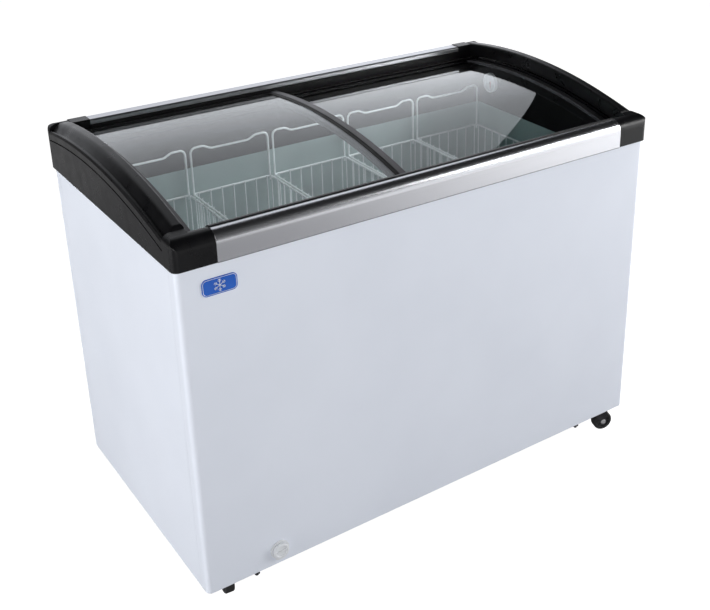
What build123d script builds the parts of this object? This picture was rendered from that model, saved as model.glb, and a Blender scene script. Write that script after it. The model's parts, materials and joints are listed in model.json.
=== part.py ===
from build123d import *
import os
from math import asin, cos, degrees, radians, sin, sqrt

os.makedirs("parts", exist_ok=True)

# Chest freezer with a curved top and two sliding glass lids.
# Millimetres. +X is to the right, +Y to the rear and +Z up, and the origin is on
# the floor under the middle of the cabinet.

# Cabinet
width = 1150.0
depth = 630.0
floor_gap = 70.0
panel_height = 720.0
corner_radius = 12.0
sheet = 1.0
seam_inset = 30.0
seam_gap = 0.5
cap_z = floor_gap + panel_height

# Curved top: every arched piece is turned about one axis parallel to X
cap_proud = 5.0
crown_top = 906.0
crown_radius = 1365.0
crown_y = 85.0
crown_z = crown_top - crown_radius
cap_inner_x = 535.0
cap_corner_radius = 14.0
cap_wall = 3.0
front_end = -depth / 2 - cap_proud
rear_end = depth / 2 + cap_proud
outer_x = width / 2 + cap_proud
rail_half = 495.0
bullnose_radius = 24.0
bullnose_z = 826.0
bullnose_back = -280.0
groove_drop = 33.0
cover_front = -278.0
cover_rear = 300.0

# Mouth and liner
mouth_x = 520.0
mouth_front = -245.0
mouth_rear = 228.0
collar_bottom = 748.0
collar_wall = 3.0
liner_wall = 1.2
liner_floor = 150.0
step_x = 285.0
step_z = 392.0

# Lids: depth of each layer under the crown, measured along the radius
glass = 4.0
upper_glass_drop = 24.0
lower_glass_drop = 43.0
track_rib_drop = 35.0
track_shelf_drop = 54.0
lid_front = -275.0
lid_rear = 277.0
upper_lid_left = -533.0
upper_lid_right = -50.0
lower_lid_left = -70.0
lower_lid_right = 529.0
lid_trim = 15.0
runner_width = 9.0

# Baskets
basket_count = 5
basket_pitch = 206.0
basket_width = 202.0
basket_front = -238.0
basket_rear = 222.0
basket_rim = 690.0
basket_bottom = 400.0
wire = 4.0
handle_top = 799.0

# Drain and badge
drain_x = -412.0
drain_z = 105.0
drain_bore = 9.0
plug_radius = 18.0
plug_front = -326.0
badge_x = -494.0
badge_z = 744.0

# Casters
caster_x = 510.0
caster_y = 277.0
wheel_radius = 25.0
wheel_width = 20.0
trail = 26.0
plate_length = 80.0
plate_depth = 62.0
plate_shift = -13.0
pan_thickness = 2.0

# Machine compartment
machine_x = 305.0
machine_top = 350.0
machine_mid = 440.0


def crown(y, drop=0.0):
    """Height of the layer that lies drop below the crown, at depth y."""
    return crown_z + sqrt((crown_radius - drop) ** 2 - (y - crown_y) ** 2)


def save(builder, name):
    builder.part.label = name
    export_step(builder.part, f"parts/{name}.step")


def arch_plane(y, drop):
    """Section plane of the crown at depth y: local x is +X, local y points up the radius."""
    lean = asin((y - crown_y) / (crown_radius - drop))
    return Plane(origin=(0, crown_y, crown_z), x_dir=(1, 0, 0), z_dir=(0, -cos(lean), sin(lean)))


def arch_sweep(y_rear, y_front, drop):
    """Angle that carries a section from y_rear to y_front round the crown's axis."""
    radius = crown_radius - drop
    return degrees(asin((y_rear - crown_y) / radius) - asin((y_front - crown_y) / radius))


crown_axis = Axis((0, crown_y, crown_z), (1, 0, 0))


def arched_bar(x_low, x_high, drop_top, drop_bottom, y_front, y_rear, mode=Mode.ADD):
    """A bar of rectangular section that follows the crown's curve."""
    middle = crown_radius - (drop_top + drop_bottom) / 2
    with BuildSketch(arch_plane(y_rear, drop_top)) as section:
        with Locations(((x_low + x_high) / 2, middle)):
            Rectangle(x_high - x_low, drop_bottom - drop_top)
    sweep_angle = arch_sweep(y_rear, y_front, drop_top)
    revolve(section.sketch, axis=crown_axis, revolution_arc=sweep_angle, mode=mode)


def mirror_x(builder, name):
    """Write the same piece for the other end of the cabinet."""
    other = mirror(builder.part, about=Plane.YZ)
    other.label = name
    export_step(other, f"parts/{name}.step")


# ---------------------------------------------------------------- cabinet shell
def plan_band(z_low, z_high, outer, wall, y_low, y_high):
    """A slice, between two depths, of the thin rounded wall that goes round the cabinet."""
    with BuildSketch(Plane.XY.offset(z_low)) as plan:
        RectangleRounded(width - 2 * outer, depth - 2 * outer, corner_radius - outer)
        inset = outer + wall
        RectangleRounded(width - 2 * inset, depth - 2 * inset, corner_radius - inset, mode=Mode.SUBTRACT)
        with Locations((0, (y_low + y_high) / 2)):
            Rectangle(2 * width, y_high - y_low, mode=Mode.INTERSECT)
    extrude(plan.sketch, amount=z_high - z_low)


front_seam = -depth / 2 + seam_inset
rear_seam = depth / 2 - seam_inset

with BuildPart() as front_panel:
    plan_band(floor_gap, cap_z, 0, sheet, -depth, front_seam)
    with BuildSketch(Plane.XZ.offset(depth / 2 + 5)):
        with Locations((drain_x, drain_z)):
            Circle(drain_bore + 3)
    extrude(amount=-10, mode=Mode.SUBTRACT)
save(front_panel, "front_panel")

with BuildPart() as left_side_panel:
    plan_band(floor_gap, cap_z, 0, sheet, front_seam + seam_gap, rear_seam - seam_gap)
    with BuildSketch(Plane.XY.offset(floor_gap)):
        with Locations((width / 2, 0)):
            Rectangle(width, depth)
    extrude(amount=panel_height, mode=Mode.SUBTRACT)
save(left_side_panel, "left_side_panel")
mirror_x(left_side_panel, "right_side_panel")

grille_x = 428.0
grille_z = 205.0
grille_w = 210.0
grille_h = 210.0
gland_x = 549.0
gland_z = 130.0
gland_r = 8.0

with BuildPart() as rear_panel:
    plan_band(floor_gap, cap_z, 0, sheet, rear_seam, depth)
    with BuildSketch(Plane.XZ.offset(-depth / 2 - 5)):
        with Locations((grille_x, grille_z)):
            Rectangle(grille_w - 16, grille_h - 16)
        with Locations((gland_x, gland_z)):
            Circle(gland_r)
    extrude(amount=10, mode=Mode.SUBTRACT)
save(rear_panel, "rear_panel")

# Pressed floor of the cabinet: a flat sheet with a low upstand inside the panels
pan_inset = sheet + 0.2
upstand = 18.0
with BuildPart() as base_pan:
    with BuildSketch(Plane.XY.offset(floor_gap)):
        RectangleRounded(width - 2 * pan_inset, depth - 2 * pan_inset, corner_radius - pan_inset)
    extrude(amount=upstand)
    with BuildSketch(Plane.XY.offset(floor_gap + pan_thickness)):
        inner_inset = pan_inset + sheet
        RectangleRounded(width - 2 * inner_inset, depth - 2 * inner_inset, corner_radius - inner_inset)
    extrude(amount=upstand, mode=Mode.SUBTRACT)
save(base_pan, "base_pan")

# ---------------------------------------------------------------- liner, coil and foam
with BuildPart() as inner_liner:
    with BuildSketch(Plane.XY.offset(liner_floor - liner_wall)):
        with Locations((0, (mouth_front + mouth_rear) / 2)):
            RectangleRounded(2 * (mouth_x + liner_wall), mouth_rear - mouth_front + 2 * liner_wall, 16)
    extrude(amount=collar_bottom - liner_floor + liner_wall)
    with BuildSketch(Plane.XY.offset(liner_floor)):
        with Locations((0, (mouth_front + mouth_rear) / 2)):
            RectangleRounded(2 * mouth_x, mouth_rear - mouth_front, 15)
    extrude(amount=collar_bottom, mode=Mode.SUBTRACT)
    # the corner over the machine compartment is left out, behind a raised step
    with BuildSketch(Plane.XZ.offset(depth)):
        with Locations(((step_x + liner_wall + width) / 2, (step_z - liner_wall) / 2)):
            Rectangle(width - step_x - liner_wall, step_z - liner_wall)
    extrude(amount=-2 * depth, mode=Mode.SUBTRACT)
    with BuildSketch(Plane.XZ.offset(-mouth_rear)):
        with BuildLine():
            Polyline(
                (step_x, liner_floor),
                (step_x, step_z),
                (mouth_x, step_z),
                (mouth_x, step_z - liner_wall),
                (step_x + liner_wall, step_z - liner_wall),
                (step_x + liner_wall, liner_floor),
                close=True,
            )
        make_face()
    extrude(amount=mouth_rear - mouth_front)
    # the step follows the liner's rounded corners
    with BuildSketch(Plane.XY.offset(liner_floor - liner_wall)):
        with Locations((0, (mouth_front + mouth_rear) / 2)):
            RectangleRounded(2 * (mouth_x + liner_wall), mouth_rear - mouth_front + 2 * liner_wall, 16)
    extrude(amount=collar_bottom, mode=Mode.INTERSECT)
    # outlet over the drain tube
    with BuildSketch(Plane.XY.offset(liner_floor - 5)):
        with Locations((drain_x, mouth_front + 60)):
            Circle(drain_bore)
    extrude(amount=10, mode=Mode.SUBTRACT)
save(inner_liner, "inner_liner")

coil_side = 8.0
coil_levels = 5
coil_pitch = 55.0
coil_first = 440.0
coil_x = mouth_x + liner_wall
coil_y_mid = (mouth_front + mouth_rear) / 2
coil_y_half = (mouth_rear - mouth_front) / 2 + liner_wall


def coil_ring(z, side, mode=Mode.ADD):
    """One turn of the evaporator tube against the outside of the liner."""
    with BuildSketch(Plane.XY.offset(z)) as ring:
        with Locations((0, coil_y_mid)):
            RectangleRounded(2 * (coil_x + side), 2 * (coil_y_half + side), 17 + side)
            RectangleRounded(2 * coil_x, 2 * coil_y_half, 16, mode=Mode.SUBTRACT)
    extrude(ring.sketch, amount=side, mode=mode)


def coil_risers(side, mode=Mode.ADD):
    """Short vertical runs that join the turns at the rear."""
    for level in range(coil_levels - 1):
        z = coil_first + level * coil_pitch
        x = 400 + 20 * (level % 2)
        with BuildSketch(Plane.XY.offset(z)) as riser:
            with Locations((x, coil_y_mid + coil_y_half + side / 2)):
                Rectangle(side, side)
        extrude(riser.sketch, amount=coil_pitch + side, mode=mode)


with BuildPart() as evaporator_coil:
    for level in range(coil_levels):
        coil_ring(coil_first + level * coil_pitch, coil_side)
    coil_risers(coil_side)
save(evaporator_coil, "evaporator_coil")

# Drain tube: down from the liner's floor, then forward to the front panel
drain_y = mouth_front + 60
tube_wall = 1.5
tube_outer = drain_bore + tube_wall
drain_face = -depth / 2 - 2.5


with BuildLine() as drain_path:
    FilletPolyline(
        (drain_x, drain_y, liner_floor - liner_wall),
        (drain_x, drain_y, drain_z),
        (drain_x, drain_face, drain_z),
        radius=20,
    )


def drain_solid(radius, mode=Mode.ADD):
    with BuildSketch(Plane.XY.offset(liner_floor - liner_wall)) as section:
        with Locations((drain_x, drain_y)):
            Circle(radius)
    sweep(section.sketch, path=drain_path.line, mode=mode)


with BuildPart() as drain_tube:
    drain_solid(tube_outer)
    drain_solid(drain_bore, mode=Mode.SUBTRACT)
save(drain_tube, "drain_tube")

# Sheet that keeps the foam out of the machine compartment
with BuildPart() as machine_bulkhead:
    with BuildSketch(Plane.XZ.offset(-depth / 2 + corner_radius)):
        with BuildLine():
            Polyline(
                (machine_x, floor_gap + pan_thickness),
                (machine_x, machine_top),
                (width / 2 - sheet - 0.2, machine_top),
                (width / 2 - sheet - 0.2, machine_top - sheet),
                (machine_x + sheet, machine_top - sheet),
                (machine_x + sheet, floor_gap + pan_thickness),
                close=True,
            )
        make_face()
    extrude(amount=depth - 2 * corner_radius)
save(machine_bulkhead, "machine_bulkhead")

with BuildPart() as foam_insulation:
    foam_inset = sheet + 0.2
    with BuildSketch(Plane.XY.offset(floor_gap + upstand + 1)):
        RectangleRounded(width - 2 * foam_inset, depth - 2 * foam_inset, corner_radius - foam_inset)
    extrude(amount=panel_height - upstand - 1)
    with BuildSketch(Plane.XY.offset(liner_floor - liner_wall)):
        with Locations((0, coil_y_mid)):
            liner_room = 2 * (coil_y_half + collar_wall - liner_wall)
            RectangleRounded(2 * (mouth_x + collar_wall), liner_room, 16)
    extrude(amount=cap_z, mode=Mode.SUBTRACT)
    # the foam fills the liner's step down to the bulkhead
    with BuildSketch(Plane.XZ.offset(-mouth_rear - collar_wall)):
        with BuildLine():
            Polyline(
                (step_x + liner_wall, liner_floor - liner_wall),
                (step_x + liner_wall, step_z - liner_wall),
                (mouth_x + collar_wall, step_z - liner_wall),
                (mouth_x + collar_wall, liner_floor - liner_wall),
                close=True,
            )
        make_face()
    extrude(amount=mouth_rear - mouth_front + 2 * collar_wall)
    with BuildSketch(Plane.XZ.offset(-depth)):
        with Locations(((machine_x + width / 2 + 50) / 2, (machine_top + floor_gap) / 2)):
            Rectangle(width / 2 + 50 - machine_x, machine_top - floor_gap)
    extrude(amount=2 * depth, mode=Mode.SUBTRACT)
    for level in range(coil_levels):
        coil_ring(coil_first + level * coil_pitch, coil_side + 0.5, mode=Mode.SUBTRACT)
    coil_risers(coil_side + 0.5, mode=Mode.SUBTRACT)
    with BuildSketch(Plane.XZ.offset(depth)):
        with Locations((drain_x, drain_z)):
            Circle(tube_outer + 0.2)
    extrude(amount=-(depth + drain_y + 21), mode=Mode.SUBTRACT)
    with BuildSketch(Plane.XY.offset(drain_z - tube_outer)):
        with Locations((drain_x, drain_y - 5)):
            Rectangle(2 * tube_outer + 1, 2 * tube_outer + 32)
    extrude(amount=liner_floor - drain_z + tube_outer, mode=Mode.SUBTRACT)
save(foam_insulation, "foam_insulation")

# ---------------------------------------------------------------- collar round the mouth
flange_proud = cap_proud - cap_wall - 0.5
flange_top = 2.0
with BuildPart() as collar:
    with BuildSketch(Plane.XY.offset(collar_bottom)):
        with Locations((0, coil_y_mid)):
            RectangleRounded(2 * (mouth_x + collar_wall), mouth_rear - mouth_front + 2 * collar_wall, 16)
    extrude(amount=crown_top - collar_bottom)
    with BuildSketch(Plane.XY.offset(cap_z)):
        RectangleRounded(width + 2 * flange_proud, depth + 2 * flange_proud, corner_radius)
    extrude(amount=flange_top)
    with BuildSketch(Plane.XY.offset(collar_bottom)):
        with Locations((0, coil_y_mid)):
            RectangleRounded(2 * mouth_x, mouth_rear - mouth_front, 13)
    extrude(amount=crown_top, mode=Mode.SUBTRACT)
    # the top edge follows the crown under the lower lid
    with BuildSketch(Plane.YZ.offset(-width)):
        with Locations((crown_y, crown_z)):
            Circle(crown_radius - track_shelf_drop)
    extrude(amount=2 * width, mode=Mode.INTERSECT)
save(collar, "collar")

# ---------------------------------------------------------------- end caps
rear_round = 16.0
shoulder_round = 18.0
rear_shoulder_round = 20.0
groove_width = 1.6
groove_gap = 3.0
cover_nose_drop = 5.0
ledge_front = -262.0
ledge_rear = 261.0


def bullnose_outline(inset):
    """Front of the rail and caps: a flat face that rolls over a round nose."""
    radius = bullnose_radius - inset
    centre = (front_end + bullnose_radius, bullnose_z)
    back = (bullnose_back, centre[1] + sqrt(radius**2 - (bullnose_back - centre[0]) ** 2))
    Line((front_end + inset, cap_z), (front_end + inset, centre[1]))
    RadiusArc((front_end + inset, centre[1]), back, radius)
    return back


def round_shoulder(y_low, y_high, edge, top, radius):
    """Round the outer edge, at X = edge and Z = top, between two Y positions."""
    with BuildSketch(Plane.XZ.offset(-y_high)) as waste:
        with Locations((edge + radius / 2 - 1, top - radius / 2 + 5)):
            Rectangle(radius + 2, radius + 10)
        with Locations((edge + radius, top - radius)):
            Circle(radius, mode=Mode.SUBTRACT)
    extrude(waste.sketch, amount=y_high - y_low, mode=Mode.SUBTRACT)


cap_inner_depth = rear_end - front_end - 2 * cap_wall
cover_front_top = crown(cover_front) - cover_nose_drop

# Space inside the end cap moulding, rounded like its outside
with BuildPart() as cap_space:
    with BuildSketch(Plane.YZ.offset(-outer_x + cap_wall)):
        with BuildLine():
            inner_nose = bullnose_outline(cap_wall)
            low_front = (bullnose_back, crown(bullnose_back, groove_drop + 6))
            low_rear = (cover_rear, crown(cover_rear, groove_drop + 6))
            Line(inner_nose, low_front)
            RadiusArc(low_front, low_rear, crown_radius - groove_drop - 6)
            Polyline(low_rear, (rear_end - cap_wall, low_rear[1]), (rear_end - cap_wall, cap_z))
            Line((rear_end - cap_wall, cap_z), (front_end + cap_wall, cap_z))
        make_face()
    extrude(amount=outer_x - cap_inner_x - 2 * cap_wall)
    with BuildSketch(Plane.YZ.offset(-cap_inner_x - cap_wall - 1)):
        with BuildLine():
            inner_nose = bullnose_outline(cap_wall)
            Polyline(
                inner_nose,
                (bullnose_back - cap_wall, inner_nose[1]),
                (bullnose_back - cap_wall, cap_z),
                (front_end + cap_wall, cap_z),
            )
        make_face()
    extrude(amount=cap_inner_x + 1 - rail_half)
    with BuildSketch(Plane.XY.offset(cap_z)):
        RectangleRounded(2 * (outer_x - cap_wall), cap_inner_depth, cap_corner_radius - cap_wall)
    extrude(amount=crown_top - cap_z, mode=Mode.INTERSECT)
    round_shoulder(
        front_end,
        cover_front,
        -outer_x + cap_wall,
        cover_front_top - cap_wall,
        shoulder_round - cap_wall,
    )

with BuildPart() as end_cap_left:
    # skirt with the nose at the front and the rounded shoulder at the rear
    with BuildSketch(Plane.YZ.offset(-outer_x)):
        with BuildLine():
            nose_top = (front_end + bullnose_radius, bullnose_z + bullnose_radius)
            cover_step = (cover_front, cover_front_top)
            seat_front = (cover_front, crown(cover_front, groove_drop + groove_gap))
            seat_end = cover_rear + groove_width
            seat_rear = (seat_end, crown(seat_end, groove_drop + groove_gap))
            shoulder = (seat_end, crown(seat_end))
            Line((front_end, cap_z), (front_end, bullnose_z))
            RadiusArc((front_end, bullnose_z), nose_top, bullnose_radius)
            Polyline(nose_top, cover_step, seat_front)
            RadiusArc(seat_front, seat_rear, crown_radius - groove_drop - groove_gap)
            Line(seat_rear, shoulder)
            RadiusArc(shoulder, (rear_end - rear_round, crown(rear_end - rear_round)), crown_radius)
            RadiusArc(
                (rear_end - rear_round, crown(rear_end - rear_round)),
                (rear_end, crown(rear_end - rear_round) - rear_round),
                rear_round,
            )
            Line((rear_end, crown(rear_end - rear_round) - rear_round), (rear_end, cap_z))
            Line((rear_end, cap_z), (front_end, cap_z))
        make_face()
    extrude(amount=outer_x - cap_inner_x)
    # front corner end that closes the front rail
    with BuildSketch(Plane.YZ.offset(-outer_x)):
        with BuildLine():
            nose = bullnose_outline(0)
            Polyline(nose, (bullnose_back, cap_z), (front_end, cap_z))
        make_face()
    extrude(amount=outer_x - rail_half)
    # vertical corners
    with BuildSketch(Plane.XY.offset(cap_z)):
        RectangleRounded(2 * outer_x, rear_end - front_end, cap_corner_radius)
    extrude(amount=crown_top - cap_z, mode=Mode.INTERSECT)
    add(cap_space.part, mode=Mode.SUBTRACT)
    # rounded outer edge along the top of the rear shoulder and of the front nose
    round_shoulder(cover_rear, rear_end, -outer_x, crown(rear_end - rear_round), rear_shoulder_round)
    round_shoulder(front_end, cover_front, -outer_x, cover_front_top, shoulder_round)
    # room for the collar's flange
    with BuildSketch(Plane.XY.offset(cap_z)):
        RectangleRounded(2 * (outer_x - cap_wall), cap_inner_depth, cap_corner_radius - cap_wall)
    extrude(amount=flange_top + 0.2, mode=Mode.SUBTRACT)
    # two ledges down the inner face, the upper one level with the upper lid
    arched_bar(-cap_inner_x - 1, -cap_inner_x + 1.5, groove_drop + groove_gap, track_shelf_drop + 1,
               ledge_front, ledge_rear)
    arched_bar(-cap_inner_x - 1, -mouth_x - collar_wall - 0.2, track_shelf_drop, track_shelf_drop + 3,
               mouth_front - 1, mouth_rear + 1)
save(end_cap_left, "end_cap_left")
mirror_x(end_cap_left, "end_cap_right")

# Arched cover that snaps over each end cap, with ridges along its outer edge
with BuildPart() as crown_cover_left:
    section_plane = arch_plane(cover_rear + 9, groove_drop)
    with BuildSketch(section_plane):
        with BuildLine():
            top = crown_radius
            outer = -outer_x
            Polyline(
                (outer, top - groove_drop),
                (outer, top - 20),
                (outer + 2.5, top - 15),
                (outer + 5, top - 14),
                (outer + 6, top - 16.5),
                (outer + 9, top - 15.5),
            )
            Spline(
                (outer + 9, top - 15.5),
                (outer + 14, top - 10.5),
                (outer + 22, top - 2.5),
                (outer + 30, top),
                tangents=((0.6, 0.5), (1, 0)),
            )
            Line((outer + 30, top), (-cap_inner_x - 4, top))
            RadiusArc((-cap_inner_x - 4, top), (-cap_inner_x, top - 4), 4)
            Polyline((-cap_inner_x, top - 4), (-cap_inner_x, top - groove_drop), (outer, top - groove_drop))
        make_face()
    revolve(axis=crown_axis, revolution_arc=arch_sweep(cover_rear + 9, cover_front - 12, groove_drop))
    # both ends roll over: the front one down to the nose, the rear one into the groove
    with BuildSketch(Plane.YZ.offset(-width)):
        with BuildLine():
            front_foot = (cover_front, crown(cover_front) - cover_nose_drop)
            front_roll = (cover_front + 14, crown(cover_front + 14) + 0.5)
            rear_roll = (cover_rear - 9, crown(cover_rear - 9) + 0.5)
            rear_foot = (cover_rear, crown(cover_rear) - 6)
            Polyline((cover_rear, cap_z), (cover_front, cap_z), front_foot)
            RadiusArc(front_foot, front_roll, 22)
            Polyline(front_roll, (front_roll[0], crown_top + 5), (rear_roll[0], crown_top + 5), rear_roll)
            RadiusArc(rear_roll, rear_foot, 9)
            Line(rear_foot, (cover_rear, cap_z))
        make_face()
    extrude(amount=2 * width, mode=Mode.INTERSECT)
save(crown_cover_left, "crown_cover_left")
mirror_x(crown_cover_left, "crown_cover_right")

# ---------------------------------------------------------------- rails and tracks
rail_wall = 2.5
with BuildPart() as front_rail:
    with BuildSketch(Plane.YZ.offset(-rail_half)):
        with BuildLine():
            nose = bullnose_outline(0)
            Polyline(nose, (bullnose_back, cap_z), (front_end, cap_z))
        make_face()
        with BuildLine():
            inner_nose = bullnose_outline(rail_wall)
            Polyline(inner_nose, (bullnose_back, cap_z), (front_end + rail_wall, cap_z))
        make_face(mode=Mode.SUBTRACT)
    extrude(amount=2 * rail_half)
save(front_rail, "front_rail")

track_x = cap_inner_x - 1.8
track_wall = 2.5
rib_reach = 12.0


def track_ribs(y_wall, y_rib, y_shelf):
    """The rib between the two lids and the shelf under the lower one."""
    low, high = sorted((y_wall, y_rib))
    arched_bar(-track_x, track_x, track_rib_drop - 1, track_rib_drop + 1, low, high)
    low, high = sorted((y_wall, y_shelf))
    arched_bar(-track_x, track_x, track_shelf_drop, track_shelf_drop + 3, low, high)


# The front track's upper edge is a soft gasket that lies over the top of the rail
gasket_start = radians(88)
gasket_inner = bullnose_radius + 0.1
gasket_outer = gasket_inner + 2.4
nose_y = front_end + bullnose_radius


def above_nose(y, radius):
    """Height of a circle about the nose's centre, at depth y."""
    return bullnose_z + sqrt(radius**2 - (y - nose_y) ** 2)


with BuildPart() as front_track:
    with BuildSketch(Plane.YZ.offset(-rail_half)):
        with BuildLine():
            wall_front = bullnose_back + 0.2
            wall_rear = bullnose_back + track_wall
            gasket_lip = nose_y + gasket_outer * cos(gasket_start)
            gasket_toe = nose_y + gasket_inner * cos(gasket_start)
            Line((wall_front, cap_z + 2.2), (wall_front, above_nose(wall_front, gasket_inner)))
            RadiusArc(
                (wall_front, above_nose(wall_front, gasket_inner)),
                (gasket_toe, above_nose(gasket_toe, gasket_inner)),
                -gasket_inner,
            )
            Line(
                (gasket_toe, above_nose(gasket_toe, gasket_inner)),
                (gasket_lip, above_nose(gasket_lip, gasket_outer)),
            )
            RadiusArc(
                (gasket_lip, above_nose(gasket_lip, gasket_outer)),
                (wall_rear, above_nose(wall_rear, gasket_outer)),
                gasket_outer,
            )
            Polyline(
                (wall_rear, above_nose(wall_rear, gasket_outer)),
                (wall_rear, cap_z + 2.2),
                (wall_front, cap_z + 2.2),
            )
        make_face()
    extrude(amount=2 * rail_half)
    track_ribs(bullnose_back + 1.5, bullnose_back + rib_reach, mouth_front - collar_wall - 1.2)
save(front_track, "front_track")

rear_rail_front = 284.0
rail_top = 887.5
rail_top_rear = rear_end - 9
rail_lip_z = 877.0
with BuildPart() as rear_rail:
    with BuildSketch(Plane.YZ.offset(-rail_half)):
        with BuildLine():
            Polyline(
                (rear_end, cap_z),
                (rear_end, rail_top - 9),
                (rear_end - 3, rail_top - 3),
                (rail_top_rear, rail_top),
                (rear_rail_front + 3, rail_top),
                (rear_rail_front, rail_top - 3),
                (rear_rail_front, rail_lip_z),
                (rear_rail_front + 1.5, rail_lip_z),
                (rear_rail_front + 1.5, rail_top - 3.5),
                (rail_top_rear - 1, rail_top - 3.5),
                (rear_end - 5, rail_top - 5.5),
                (rear_end - rail_wall, rail_top - 10),
                (rear_end - rail_wall, cap_z),
                close=True,
            )
        make_face()
    extrude(amount=2 * rail_half)
save(rear_rail, "rear_rail")

with BuildPart() as rear_track:
    with BuildSketch(Plane.YZ.offset(-rail_half)):
        with BuildLine():
            Polyline(
                (rear_rail_front - 0.2, cap_z + 2.2),
                (rear_rail_front - 0.2, rail_lip_z - 0.5),
                (rear_rail_front - track_wall, rail_lip_z - 0.5),
                (rear_rail_front - track_wall, cap_z + 2.2),
                close=True,
            )
        make_face()
    extrude(amount=2 * rail_half)
    track_ribs(rear_rail_front - 1.5, lid_rear - 10, mouth_rear + collar_wall + 1.2)
save(rear_track, "rear_track")

block_gap = 0.3
with BuildPart() as rear_end_blocks:
    for side in (-1, 1):
        with BuildSketch(Plane.YZ.offset(side * (rail_half + block_gap))):
            with BuildLine():
                Polyline(
                    (rear_rail_front - 1, cap_z + 2.2),
                    (rear_rail_front - 1, rail_top + 1.5),
                    (rail_top_rear, rail_top + 1.5),
                    (rear_end - 3, rail_top - 3),
                    (rear_end, rail_top - 9),
                    (rear_end, cap_z + 2.2),
                    close=True,
                )
            make_face()
        extrude(amount=side * (cap_inner_x - rail_half - 2 * block_gap))
save(rear_end_blocks, "rear_end_blocks")

# ---------------------------------------------------------------- lids
def save_lid(prefix, x_low, x_high, glass_drop):
    """Curved glass, an arched trim on each side and a runner on the front and rear edges."""
    with BuildPart() as lid_glass:
        arched_bar(x_low + 3, x_high - 3, glass_drop, glass_drop + glass, lid_front + 1, lid_rear - 1)
    save(lid_glass, f"{prefix}_glass")
    for side, x_trim in (("left", x_low), ("right", x_high - lid_trim)):
        with BuildPart() as lid_side_trim:
            trim_top = glass_drop - 3
            trim_bottom = glass_drop + glass + 3
            arched_bar(x_trim, x_trim + lid_trim, trim_top, trim_bottom, lid_front, lid_rear)
            arched_bar(x_low + 3, x_high - 3, glass_drop, glass_drop + glass, lid_front - 5, lid_rear + 5,
                       mode=Mode.SUBTRACT)
        save(lid_side_trim, f"{prefix}_{side}_trim")
    with BuildPart() as lid_runners:
        runner_top = glass_drop - 2
        runner_bottom = glass_drop + glass + 2
        for y_low, y_high in ((lid_front, lid_front + runner_width), (lid_rear - runner_width, lid_rear)):
            arched_bar(x_low + lid_trim, x_high - lid_trim, runner_top, runner_bottom, y_low, y_high)
        arched_bar(x_low + 3, x_high - 3, glass_drop, glass_drop + glass, lid_front + 1, lid_rear - 1,
                   mode=Mode.SUBTRACT)
    save(lid_runners, f"{prefix}_runners")


save_lid("upper_lid", upper_lid_left, upper_lid_right, upper_glass_drop)
save_lid("lower_lid", lower_lid_left, lower_lid_right, lower_glass_drop)

# ---------------------------------------------------------------- baskets
basket_length = basket_rear - basket_front
basket_mid = (basket_front + basket_rear) / 2
basket_height = basket_rim - basket_bottom
handle_dip = 7.0
handle_round = 14.0


def handle_outline(inset):
    """Tall loop: two legs, raised round shoulders and a shallow dip between them."""
    half = basket_width / 2 - inset
    top = handle_top - inset
    foot = basket_rim - 2 - inset
    Line((-half, foot), (-half, top - handle_round))
    RadiusArc((-half, top - handle_round), (-half + handle_round, top), handle_round)
    Line((-half + handle_round, top), (-half + 30, top))
    Spline((-half + 30, top), (-half + 50, top - handle_dip), tangents=((1, 0), (1, 0)))
    Line((-half + 50, top - handle_dip), (half - 50, top - handle_dip))
    Spline((half - 50, top - handle_dip), (half - 30, top), tangents=((1, 0), (1, 0)))
    Line((half - 30, top), (half - handle_round, top))
    RadiusArc((half - handle_round, top), (half, top - handle_round), handle_round)
    Line((half, top - handle_round), (half, foot))
    Line((half, foot), (-half, foot))


with BuildPart() as basket:
    # floor and walls, closed over the spaces between the wires
    with BuildSketch(Plane.XY.offset(basket_bottom)):
        with Locations((0, basket_mid)):
            Rectangle(basket_width, basket_length)
    extrude(amount=basket_height)
    with BuildSketch(Plane.XY.offset(basket_bottom + wire)):
        with Locations((0, basket_mid)):
            Rectangle(basket_width - 2 * wire, basket_length - 2 * wire)
    extrude(amount=basket_height, mode=Mode.SUBTRACT)
    # tall handle loop on each end wall
    for y in (basket_front + wire, basket_rear):
        with BuildSketch(Plane.XZ.offset(-y)):
            with BuildLine():
                handle_outline(0)
            make_face()
            with BuildLine():
                handle_outline(wire + 1)
            make_face(mode=Mode.SUBTRACT)
            with Locations((0, basket_rim - wire)):
                Rectangle(basket_width - 2 * (wire + 1), 2 * wire, mode=Mode.SUBTRACT)
        extrude(amount=wire)

for index in range(basket_count):
    shifted = Pos((index - (basket_count - 1) / 2) * basket_pitch, 0, 0) * basket.part
    shifted.label = f"basket_{index + 1}"
    export_step(shifted, f"parts/basket_{index + 1}.step")

# ---------------------------------------------------------------- thermometer
dial_y = 173.0
dial_z = 812.0
dial_radius = 25.0
bezel_depth = 9.0
bezel_rim = 3.5
dial_plane = Plane(origin=(mouth_x, dial_y, dial_z), x_dir=(0, 1, 0), z_dir=(-1, 0, 0))

with BuildPart() as thermometer_bezel:
    with BuildSketch(dial_plane.offset(0.2)):
        Circle(dial_radius)
    extrude(amount=bezel_depth)
    fillet(thermometer_bezel.edges().filter_by(GeomType.CIRCLE).sort_by(Axis.X)[0], 2)
    with BuildSketch(dial_plane.offset(1.5)):
        Circle(dial_radius - bezel_rim)
    extrude(amount=bezel_depth, mode=Mode.SUBTRACT)
save(thermometer_bezel, "thermometer_bezel")

with BuildPart() as thermometer_dial:
    with BuildSketch(dial_plane.offset(1.6)):
        Circle(dial_radius - bezel_rim - 0.2)
    extrude(amount=1)
    with BuildSketch(dial_plane.offset(2.5)):
        Circle(0.9)
    extrude(amount=3.6)
save(thermometer_dial, "thermometer_dial")

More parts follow.
